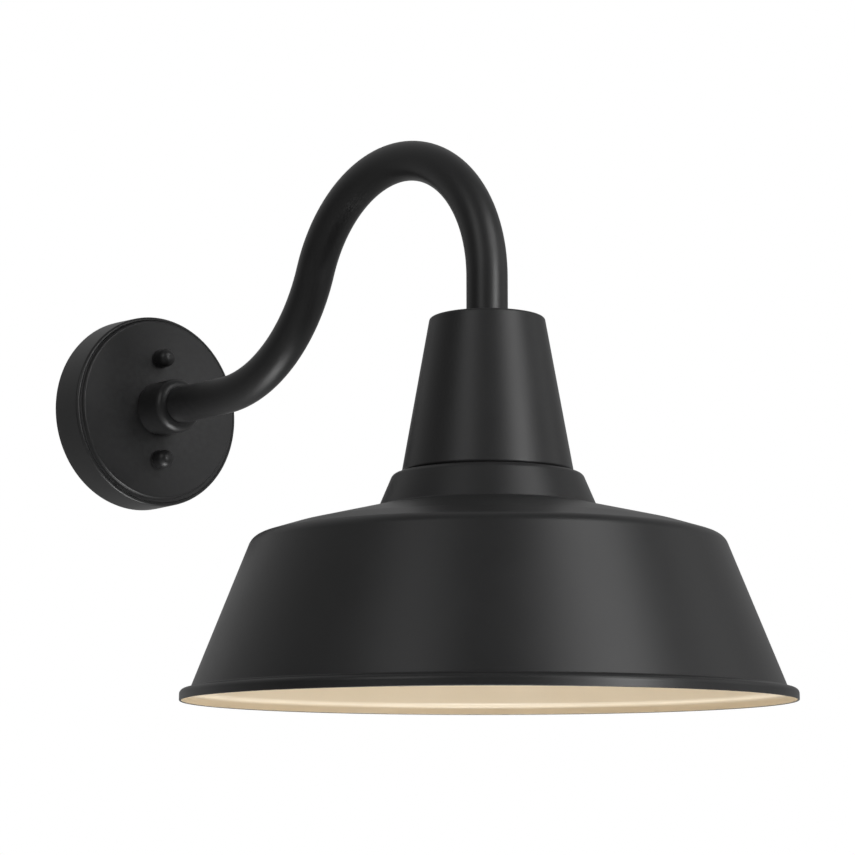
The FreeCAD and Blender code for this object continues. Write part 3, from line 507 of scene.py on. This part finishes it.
def ivory_lining():
    """The shade's warm white inside, a smooth satin paint with faint spinning rings."""
    look = Look("ivory_lining", (0.88, 0.76, 0.58), 0.35)
    drift = look.noise(50 * MM, 3.0)
    body = look.blend(look.scaled(drift, 0.35, 0.65, 0, 1), (0.87, 0.75, 0.57), (0.90, 0.78, 0.60))
    dust = look.scaled(look.noise(0.9 * MM, 4.0), 0.62, 0.75, 0, 0.25)
    look.colour(look.blend(dust, body, (0.72, 0.62, 0.46)))
    look.roughness(look.scaled(drift, 0.3, 0.7, 0.30, 0.40))
    look.bump(look.spun_rings(3.0 * MM), 0.006 * MM)
    look.bump(look.noise(1.2 * MM, 2.0), 0.012 * MM)
    return look.material


def rubber(name, shade=0.022, cell=0.5 * MM):
    """Matt rubber or foam with small pores."""
    look = Look(name, (shade, shade, shade), 0.8)
    pores = look.specks(cell)
    drift = look.noise(6 * MM, 3.0)
    darker = shade * 0.7
    paler = shade * 1.3
    look.colour(look.blend(drift, (darker, darker, darker), (paler, paler, paler)))
    look.roughness(look.scaled(pores, 0, 0.6, 0.92, 0.7))
    look.bump(pores, 0.05 * MM)
    return look.material


def plated_metal(name, bright, dull, roughness, brushed=0.5 * MM, rub=(1, 1, 1)):
    """Metal with a thin plated or rolled skin: cloudy tone, fine rub marks and polished edges."""
    look = Look(name, bright, roughness, [("Metallic", 1.0)])
    clouds = look.noise(5 * MM, 5.0)
    marks = look.noise(brushed, 4.0, rub)
    body = look.blend(look.scaled(clouds, 0.35, 0.65, 0, 1), dull, bright)
    polished = tuple(min(1.0, part * 1.15) for part in bright)
    look.colour(look.blend(look.worn_edges(), body, polished))
    low = roughness * 0.8
    look.roughness(look.scaled(marks, 0.3, 0.7, low, roughness * 1.3))
    look.bump(marks, 0.008 * MM)
    return look.material


def painted_screw(name, colour):
    """A thin dyed or painted finish on small steel parts, worn bright on its edges."""
    look = Look(name, colour, 0.4)
    dark = tuple(part * 0.7 for part in colour)
    clouds = look.noise(2.5 * MM, 4.0)
    body = look.blend(clouds, dark, colour)
    look.colour(look.blend(look.scaled(look.worn_edges(), 0, 1, 0, 0.6), body, (0.35, 0.34, 0.32)))
    look.roughness(look.scaled(clouds, 0.3, 0.7, 0.34, 0.5))
    look.bump(look.noise(0.5 * MM, 3.0), 0.01 * MM)
    return look.material


def porcelain():
    """White glazed ceramic with a few specks and a slightly wavy glaze."""
    glaze = [("Coat Weight", 0.6), ("Coat Roughness", 0.08)]
    look = Look("porcelain", (0.83, 0.82, 0.78), 0.18, glaze)
    drift = look.noise(12 * MM, 3.0)
    body = look.blend(drift, (0.80, 0.79, 0.74), (0.86, 0.85, 0.82))
    spots = look.scaled(look.specks(3.0 * MM), 0.05, 0.09, 1, 0)
    look.colour(look.blend(look.scaled(spots, 0, 1, 0, 0.45), body, (0.45, 0.40, 0.33)))
    look.roughness(look.scaled(drift, 0.3, 0.7, 0.14, 0.24))
    look.bump(look.noise(5 * MM, 2.0), 0.08 * MM)
    return look.material


def plastic(name, colour, roughness=0.4, grain=0.4 * MM):
    """Moulded plastic or wire insulation: even colour with a light grain and handling marks."""
    look = Look(name, colour, roughness)
    dark = tuple(part * 0.85 for part in colour)
    clouds = look.noise(8 * MM, 4.0)
    look.colour(look.blend(clouds, dark, colour))
    look.roughness(look.scaled(clouds, 0.3, 0.7, roughness * 0.85, roughness * 1.2))
    look.bump(look.noise(grain, 3.0), 0.01 * MM)
    return look.material


def clear_glass():
    """Thin blown glass, with slow waves that bend reflections a little."""
    look = Look("clear_glass", (1, 1, 1), 0.0, [("Transmission Weight", 1.0), ("IOR", 1.47)])
    look.roughness(look.scaled(look.noise(9 * MM, 3.0), 0.4, 0.8, 0.0, 0.04))
    look.bump(look.noise(14 * MM, 1.0), 0.05 * MM)
    return look.material


def filament_phosphor():
    """Yellow phosphor gel on the light-giving rods, a little lumpy."""
    look = Look("filament_phosphor", (0.88, 0.62, 0.12), 0.5)
    lumps = look.noise(1.0 * MM, 3.0)
    look.colour(look.blend(lumps, (0.80, 0.50, 0.07), (0.93, 0.70, 0.18)))
    look.roughness(look.scaled(lumps, 0.3, 0.7, 0.42, 0.6))
    look.bump(lumps, 0.06 * MM)
    return look.material


def make_looks():
    """One look for each material slot of the record, and the shade's lining."""
    return {
        "black_powder_coat": powder_coat("black_powder_coat"),
        "spun_powder_coat": powder_coat("spun_powder_coat", spun=True),
        "ivory_lining": ivory_lining(),
        "black_rubber": rubber("black_rubber"),
        "zinc_steel": plated_metal("zinc_steel", (0.66, 0.67, 0.66), (0.50, 0.50, 0.47), 0.34),
        "green_steel": painted_screw("green_steel", (0.02, 0.22, 0.07)),
        "black_steel": painted_screw("black_steel", (0.03, 0.03, 0.033)),
        "tinned_brass": plated_metal("tinned_brass", (0.72, 0.71, 0.67), (0.58, 0.56, 0.50), 0.3),
        "brass": plated_metal("brass", (0.86, 0.66, 0.32), (0.66, 0.46, 0.20), 0.26),
        "nickel_plate": plated_metal("nickel_plate", (0.73, 0.70, 0.65), (0.62, 0.59, 0.54), 0.22),
        "solder": plated_metal("solder", (0.62, 0.62, 0.61), (0.42, 0.42, 0.43), 0.4, 1.0 * MM),
        "filament_wire": plated_metal("filament_wire", (0.60, 0.58, 0.55), (0.45, 0.43, 0.41), 0.3),
        "porcelain": porcelain(),
        "orange_plastic": plastic("orange_plastic", (0.80, 0.22, 0.03), 0.42),
        "black_insulation": plastic("black_insulation", (0.018, 0.018, 0.019), 0.38),
        "white_insulation": plastic("white_insulation", (0.74, 0.73, 0.69), 0.38),
        "green_insulation": plastic("green_insulation", (0.03, 0.25, 0.08), 0.38),
        "black_glass": plastic("black_glass", (0.012, 0.010, 0.016), 0.1, 2.0 * MM),
        "clear_glass": clear_glass(),
        "filament_phosphor": filament_phosphor(),
    }


def dress_nodes(looks):
    """Gives every node of the frame the look of its slot."""
    for entry in frame["record"]["subparts"]:
        node = frame["nodes"][entry["node"]]
        for slot in node.material_slots:
            slot.material = looks[entry["material_slot"]]


# ---- pieces -------------------------------------------------------------------------------------


def stand_for(piece, node, body):
    """Lets a finished piece take the place of a node of the frame."""
    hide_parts(node)
    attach(piece, body)


def make_shade(looks):
    """The spun shade: flat top, stepped neck, shallow crown, steep skirt and a flanged rim."""
    skin = rounded([
        (FLANGE_HOLE, SHADE_TOP),
        (NECK_RADIUS, SHADE_TOP, NECK_ROUNDING),
        (CROWN_START_RADIUS, SHADE_TOP - CROWN_START_DROP, FOLD_ROUNDING),
        (CROWN_BREAK_RADIUS, SHADE_TOP - CROWN_BREAK_DROP, CROWN_ROUNDING),
        (SHOULDER_RADIUS, SHADE_TOP - SHOULDER_DROP, SHOULDER_ROUNDING),
        (SKIRT_RADIUS, SHADE_TOP - SKIRT_DROP, FOLD_ROUNDING),
        (RIM_RADIUS, SHADE_TOP - RIM_SHELF_DROP, RIM_ROUNDING),
        (RIM_RADIUS, SHADE_RIM + LIP_BEVEL),
        (RIM_RADIUS - LIP_BEVEL, SHADE_RIM),
    ])
    lining = inner_skin(skin[:-1], SHEET)
    lining[-1] = Vector((RIM_RADIUS - SHEET, SHADE_RIM + LIP_BEVEL))
    lip = Vector((RIM_RADIUS - SHEET + LIP_BEVEL, SHADE_RIM))
    outline = skin + [lip] + lining[::-1]
    paints = [looks["spun_powder_coat"], looks["ivory_lining"]]
    piece = lathe("shade_spinning", outline, ON_LAMP, paints, FINE + MEDIUM, len(skin) + 1)
    stand_for(piece, "shade", "lantern")


def make_socket_cup(looks):
    """The tapered cup: flat top with a soft edge, straight sides and an inward foot flange."""
    skin = rounded([
        (NIPPLE_HOLE, CUP_HIGH.z),
        (CUP_TOP_RADIUS, CUP_HIGH.z, CUP_TOP_ROUNDING),
        (CUP_BOTTOM_RADIUS, CUP_LOW.z, CUP_FOOT_ROUNDING),
        (FLANGE_HOLE, CUP_LOW.z),
    ])
    outline = skin + inner_skin(skin, SHEET)[::-1]
    piece = lathe("socket_cup_spinning", outline, ON_LAMP, [looks["spun_powder_coat"]])
    stand_for(piece, "socket_cup", "lantern")


def arm_stations():
    """Centre points and directions of the arm, from the wall to the cup, in the plane x = 0."""
    both_bends = LOWER_BEND + UPPER_BEND
    straight_end = LAMP_Y + UPPER_BEND + both_bends * math.sin(CLIMB)
    upper_height = LOWER_BEND - both_bends * math.cos(CLIMB)
    upper_centre = Vector((0, LAMP_Y + UPPER_BEND, upper_height))
    stations = [(Vector((0, ARM_HIGH.y, 0)), Vector((0, -1, 0)))]
    for k in range(LOWER_BEND_STEPS + 1):
        angle = CLIMB * k / LOWER_BEND_STEPS
        way = Vector((0, -math.cos(angle), math.sin(angle)))
        reach = straight_end - LOWER_BEND * math.sin(angle)
        stations.append((Vector((0, reach, LOWER_BEND * (1 - math.cos(angle)))), way))
    turn = CLIMB + math.radians(90)
    for k in range(1, UPPER_BEND_STEPS + 1):
        angle = CLIMB - turn * k / UPPER_BEND_STEPS
        way = Vector((0, -math.cos(angle), math.sin(angle)))
        outward = Vector((0, math.sin(angle), math.cos(angle)))
        stations.append((upper_centre + outward * UPPER_BEND, way))
    return stations


def make_arm(looks):
    """The bent tube, with the small bead rolled round its lamp end."""
    stations = arm_stations()
    radii = [TUBE_RADIUS] * len(stations)
    down = Vector((0, 0, -1))
    for rise, grow in END_BEAD_PROFILE:
        stations.append((Vector((0, LAMP_Y, ARM_END + rise * MM)), down))
        radii.append(TUBE_RADIUS + END_BEAD_HEIGHT * grow)
    bore = TUBE_RADIUS - TUBE_WALL
    piece = swept_tube("arm_bent_tube", stations, radii, bore, looks["black_powder_coat"])
    stand_for(piece, "arm_tube", "lantern")


def lowered(points, drop):
    """Outline points as (radius, height, drop): rings that lie lower on the wall than the origin."""
    return [(point[0], point[1], drop) for point in points]


def make_canopy(looks):
    """The wall pan with a fine bead and groove, hung slightly lower than its raised front disc."""
    ledge = CANOPY_FACE - CANOPY_STEP
    disc = [
        (NIPPLE_HOLE, CANOPY_FACE),
        (DISC_RADIUS, CANOPY_FACE, DISC_ROUNDING),
        (DISC_FOOT_RADIUS, ledge),
    ]
    bead_and_groove = [
        (PAN_BEAD_INNER_RADIUS, ledge),
        (PAN_BEAD_CREST_RADIUS, ledge + PAN_BEAD_CREST, PAN_BEAD_ROUNDING),
        (GROOVE_RADIUS, ledge - GROOVE_DEPTH),
        (GROOVE_OUTER_RADIUS, ledge),
    ]
    wall = [
        (CANOPY_RADIUS - CANOPY_EDGE_INSET, ledge, CANOPY_EDGE_ROUNDING),
        (CANOPY_RADIUS, CANOPY_BACK + CANOPY_RIM_DEPTH),
        (CANOPY_RADIUS, CANOPY_BACK),
    ]
    hollow = inner_skin(rounded(disc + wall), SHEET)
    rings = lowered(rounded(disc), 0) + lowered(rounded(bead_and_groove + wall), CANOPY_DROP)
    for point in reversed(hollow):
        rings += lowered([point], CANOPY_DROP if point.x > DISC_FOOT_RADIUS else 0)
    piece = lathe("canopy_pan", rings, ON_WALL, [looks["black_powder_coat"]])
    stand_for(piece, "canopy", "lantern")


def make_collar(looks):
    """The round collar at the arm's root."""
    radius = COLLAR_HIGH.x
    back = -COLLAR_HIGH.y
    front = -COLLAR_LOW.y
    bore = TUBE_RADIUS + TUBE_GAP
    outline = rounded([
        (bore, back),
        (radius - COLLAR_BEVEL, back),
        (radius, back + COLLAR_BEVEL),
        (radius, front, COLLAR_ROUNDING),
        (bore, front),
    ])
    piece = lathe("collar_turned", outline, ON_WALL, [looks["black_powder_coat"]], MEDIUM)
    stand_for(piece, "arm_collar", "lantern")


def make_cap_nuts(looks):
    """Two small round blind nuts with domed ends."""
    radius = CAP_NUTS_HIGH.x
    back = -CAP_NUTS_HIGH.y
    front = -CAP_NUTS_LOW.y
    outline = rounded([
        (STUD_RADIUS, back),
        (radius - CAP_NUT_BEVEL, back, 0.2 * MM),
        (radius, back + 0.5 * MM, 0.3 * MM),
        (radius, front, CAP_NUT_ROUNDING),
        (0, front),
        (0, front - CAP_NUT_END),
        (STUD_RADIUS, front - CAP_NUT_END),
    ])
    for name, side in (("cap_nut_upper", 1), ("cap_nut_lower", -1)):
        place = ON_WALL @ Matrix.Translation((0, side * STUD_HEIGHT, 0))
        piece = lathe(name, outline, place, [looks["black_powder_coat"]], SMALL)
        stand_for(piece, "cap_nuts", "lantern")


def make_head_seal(looks):
    """The dark ring between the tube's end and the cup."""
    outer = SEAL_HIGH.x
    outline = rounded([
        (NIPPLE_HOLE, SEAL_LOW.z),
        (outer, SEAL_LOW.z),
        (outer, SEAL_HIGH.z, SEAL_ROUNDING),
        (NIPPLE_HOLE, SEAL_HIGH.z),
    ])
    piece = lathe("head_seal_moulded", outline, ON_LAMP, [looks["black_rubber"]], MEDIUM)
    stand_for(piece, "head_ring", "lantern")


def make_threads(looks):
    """Studs and hollow nipples with their machine threads cut."""
    look = looks["zinc_steel"]
    stud_ends = (-STUDS_HIGH.y, -STUDS_LOW.y)
    for name, side in (("stud_thread_upper", 1), ("stud_thread_lower", -1)):
        place = ON_WALL @ Matrix.Translation((0, side * STUD_HEIGHT, 0))
        thread = (STUD_RADIUS, MACHINE_DEPTH, MACHINE_PITCH)
        piece = threaded_rod(name, thread, stud_ends, 0, place, look)
        stand_for(piece, "mounting_studs", "lantern")
    nipples = (
        ("wall_nipple", (-WALL_NIPPLE_HIGH.y, -WALL_NIPPLE_LOW.y), ON_WALL),
        ("head_nipple", (HEAD_NIPPLE_LOW.z, HEAD_NIPPLE_HIGH.z), ON_LAMP),
    )
    for node, ends, place in nipples:
        thread = (WALL_NIPPLE_HIGH.x, NIPPLE_DEPTH, NIPPLE_PITCH)
        piece = threaded_rod(node + "_thread", thread, ends, NIPPLE_BORE, place, look)
        stand_for(piece, node, "lantern")


def rolled_shell(name, wall, ends, top, bottom, look):
    """A thin shell on the lamp's axis with a rolled lamp thread on both sides.

    wall is its (outer radius, thread depth, sheet); top and bottom are plain outlines.
    """
    outer, depth, sheet = wall
    pitch = SCREW_BASE_PITCH
    points, faces = thread_grid(outer, depth, pitch, *ends, round_crest, MEDIUM)
    for outline in (top, bottom):
        more_points, more_faces = turned_grid(outline, MEDIUM, len(points))
        points += more_points
        faces += more_faces
    inner = outer - sheet
    more_points, more_faces = thread_grid(inner, depth, pitch, *ends, round_crest, MEDIUM, len(points))
    points += more_points
    faces += more_faces
    return new_piece(name, [ON_LAMP @ point for point in points], faces, [look])


def flared_end(outer, root, sheet, thread_end, end):
    """The plain end of a screw shell, from the thread's root out to the full radius and back inside."""
    return rounded([
        (root, thread_end),
        (outer, thread_end - FLARE_OUTSIDE, 0.6 * MM),
        (outer, end),
        (outer - sheet, end),
        (outer - sheet, thread_end - FLARE_INSIDE, 0.4 * MM),
        (root - sheet, thread_end),
    ])


def make_bulb_cap(looks):
    """The bulb's screw cap: a rounded shoulder, a rolled thread and a plain skirt."""
    outer = BULB_CAP_HIGH.x
    sheet = BULB_CAP_SHEET
    root = outer - BULB_CAP_DEPTH
    shoulder = BULB_CAP_HIGH.z
    skirt_end = BULB_CAP_LOW.z
    thread = (skirt_end + BULB_CAP_PLAIN_END, shoulder - BULB_CAP_PLAIN_TOP)
    top = rounded([
        (root, thread[1]),
        (root - 0.3 * MM, shoulder - 0.6 * MM, 0.4 * MM),
        (BULB_CAP_LIP, shoulder, 0.5 * MM),
        (BULB_CAP_HOLE, shoulder),
        (BULB_CAP_HOLE, shoulder - sheet),
        (root - sheet, thread[1]),
    ])
    bottom = flared_end(outer, root, sheet, thread[0], skirt_end)
    wall = (outer, BULB_CAP_DEPTH, sheet)
    piece = rolled_shell("bulb_cap_rolled", wall, thread, top, bottom, looks["nickel_plate"])
    stand_for(piece, "bulb_cap", "bulb")


def make_socket_shell(looks):
    """The socket's brass shell; its rolled thread meets the bulb cap's."""
    outer = SHELL_HIGH.x
    sheet = SHELL_SHEET
    root = outer - SHELL_DEPTH
    floor = SHELL_HIGH.z
    mouth = SHELL_LOW.z
    thread = (mouth + SHELL_PLAIN_END, floor - SHELL_PLAIN_TOP)
    top = rounded([
        (root, thread[1]),
        (root, floor, SHELL_FLOOR_ROUNDING),
        (SHELL_FLOOR_HOLE, floor),
        (SHELL_FLOOR_HOLE, floor - sheet),
        (root - sheet, floor - sheet, 0.4 * MM),
        (root - sheet, thread[1]),
    ])
    bottom = flared_end(outer, root, sheet, thread[0], mouth)
    wall = (outer, SHELL_DEPTH, sheet)
    piece = rolled_shell("socket_shell_rolled", wall, thread, top, bottom, looks["brass"])
    stand_for(piece, "socket_screw_shell", "lantern")


# ---- studio -------------------------------------------------------------------------------------

FLOOR_DROP = 2.6
FLOOR_RADIUS = 9.0
FLOOR_GLOW = 0.6

# lights the lantern from behind and from its right; WORLD_DIM and WORLD_BRIGHT are strengths
BRIGHT_SIDE = Vector((0.40, 0.86, 0.30)).normalized()
WORLD_DIM = 0.08
WORLD_BRIGHT = 0.43

LIGHT_TARGET = Vector((0, LAMP_Y * 0.8, -0.04))

CAMERA_PLACE = (-1.002, -1.5046, -0.2835)
CAMERA_HEADING = math.radians(-40.08)
CAMERA_PITCH = math.radians(8.68)
CAMERA_LENS = 110.3
CAMERA_SENSOR = 36


def make_floor():
    """A plain pale disc, far enough below for views from under the lantern.

    It has a faint glow that only the camera sees, so that it stays pale and lights nothing more.
    """
    look = Look("pale_floor", (0.86, 0.86, 0.85), 0.7)
    tone = look.noise(0.5, 3.0)
    look.colour(look.blend(tone, (0.85, 0.85, 0.84), (0.88, 0.88, 0.87)))
    path = look.add("ShaderNodeLightPath")
    look.shader.inputs["Emission Color"].default_value = (0.88, 0.88, 0.87, 1)
    glow = look.combined(path.outputs["Is Camera Ray"], FLOOR_GLOW, "MULTIPLY")
    look.join(glow, look.shader.inputs["Emission Strength"])
    points, faces = turned_grid([(FLOOR_RADIUS, -FLOOR_DROP), (0, -FLOOR_DROP)], FINE)
    floor = new_piece("floor", points, faces, [look.material])


def make_world():
    """Seen as white all round; as a light it is brightest on BRIGHT_SIDE, behind the lantern."""
    world = bpy.data.worlds.new("studio")
    bpy.context.scene.world = world
    world.use_nodes = True
    tree = world.node_tree
    tree.nodes.clear()
    join = tree.links.new
    place = tree.nodes.new("ShaderNodeTexCoord")
    behind = tree.nodes.new("ShaderNodeVectorMath")
    behind.operation = "DOT_PRODUCT"
    behind.inputs[1].default_value = BRIGHT_SIDE
    join(place.outputs["Generated"], behind.inputs[0])
    fade = tree.nodes.new("ShaderNodeMapRange")
    fade.interpolation_type = "SMOOTHSTEP"
    limits = (("From Min", -0.1), ("From Max", 1.0), ("To Min", WORLD_DIM), ("To Max", WORLD_BRIGHT))
    for key, value in limits:
        fade.inputs[key].default_value = value
    join(behind.outputs["Value"], fade.inputs["Value"])
    lit = tree.nodes.new("ShaderNodeBackground")
    join(fade.outputs["Result"], lit.inputs["Strength"])
    seen = tree.nodes.new("ShaderNodeBackground")
    path = tree.nodes.new("ShaderNodeLightPath")
    mix = tree.nodes.new("ShaderNodeMixShader")
    join(path.outputs["Is Camera Ray"], mix.inputs["Fac"])
    join(lit.outputs["Background"], mix.inputs[1])
    join(seen.outputs["Background"], mix.inputs[2])
    output = tree.nodes.new("ShaderNodeOutputWorld")
    join(mix.outputs["Shader"], output.inputs["Surface"])
    for background in (lit, seen):
        background.inputs["Color"].default_value = (1, 1, 1, 1)


def softbox(name, heading, rise, distance, width, height, power):
    """A rectangular light facing the lantern, at a heading and rise in degrees.

    Heading 0 is straight out from the wall and grows towards +X.
    """
    light = bpy.data.lights.new(name, "AREA")
    light.shape = "RECTANGLE"
    light.size = width
    light.size_y = height
    light.energy = power
    lamp = bpy.data.objects.new(name, light)
    bpy.context.scene.collection.objects.link(lamp)
    side = math.radians(heading)
    up = math.radians(rise)
    way = Vector((math.sin(side) * math.cos(up), -math.cos(side) * math.cos(up), math.sin(up)))
    lamp.location = LIGHT_TARGET + way * distance
    lamp.rotation_euler = way.to_track_quat("Z", "Y").to_euler()
    lamp.visible_camera = False


def make_lights():
    softbox("key", 7, 6, 2.6, 0.65, 1.2, 29)
    softbox("key_high", 11, 38, 2.6, 1.5, 1.0, 15)
    softbox("side", 60, 15, 2.6, 1.1, 1.6, 3.5)
    softbox("fill", -74, 26, 2.6, 1.0, 1.8, 9)
    softbox("low", 0, -86, 2.2, 1.3, 1.3, 36)


def make_camera():
    """Below the rim, to the lantern's left as one faces the wall."""
    lens = bpy.data.cameras.new("camera")
    lens.sensor_width = CAMERA_SENSOR
    lens.lens = CAMERA_LENS
    lens.clip_start = 0.05
    lens.clip_end = 60
    camera = bpy.data.objects.new("camera", lens)
    bpy.context.scene.collection.objects.link(camera)
    camera.location = CAMERA_PLACE
    camera.rotation_euler = (math.radians(90) + CAMERA_PITCH, 0, CAMERA_HEADING)
    bpy.context.scene.camera = camera


# ---- the whole scene ----------------------------------------------------------------------------


def main():
    looks = make_looks()
    dress_nodes(looks)
    make_shade(looks)
    make_socket_cup(looks)
    make_arm(looks)
    make_canopy(looks)
    make_collar(looks)
    make_cap_nuts(looks)
    make_head_seal(looks)
    make_threads(looks)
    make_bulb_cap(looks)
    make_socket_shell(looks)
    make_floor()
    make_world()
    make_lights()
    make_camera()
    bpy.context.scene.view_settings.view_transform = "Standard"


main()
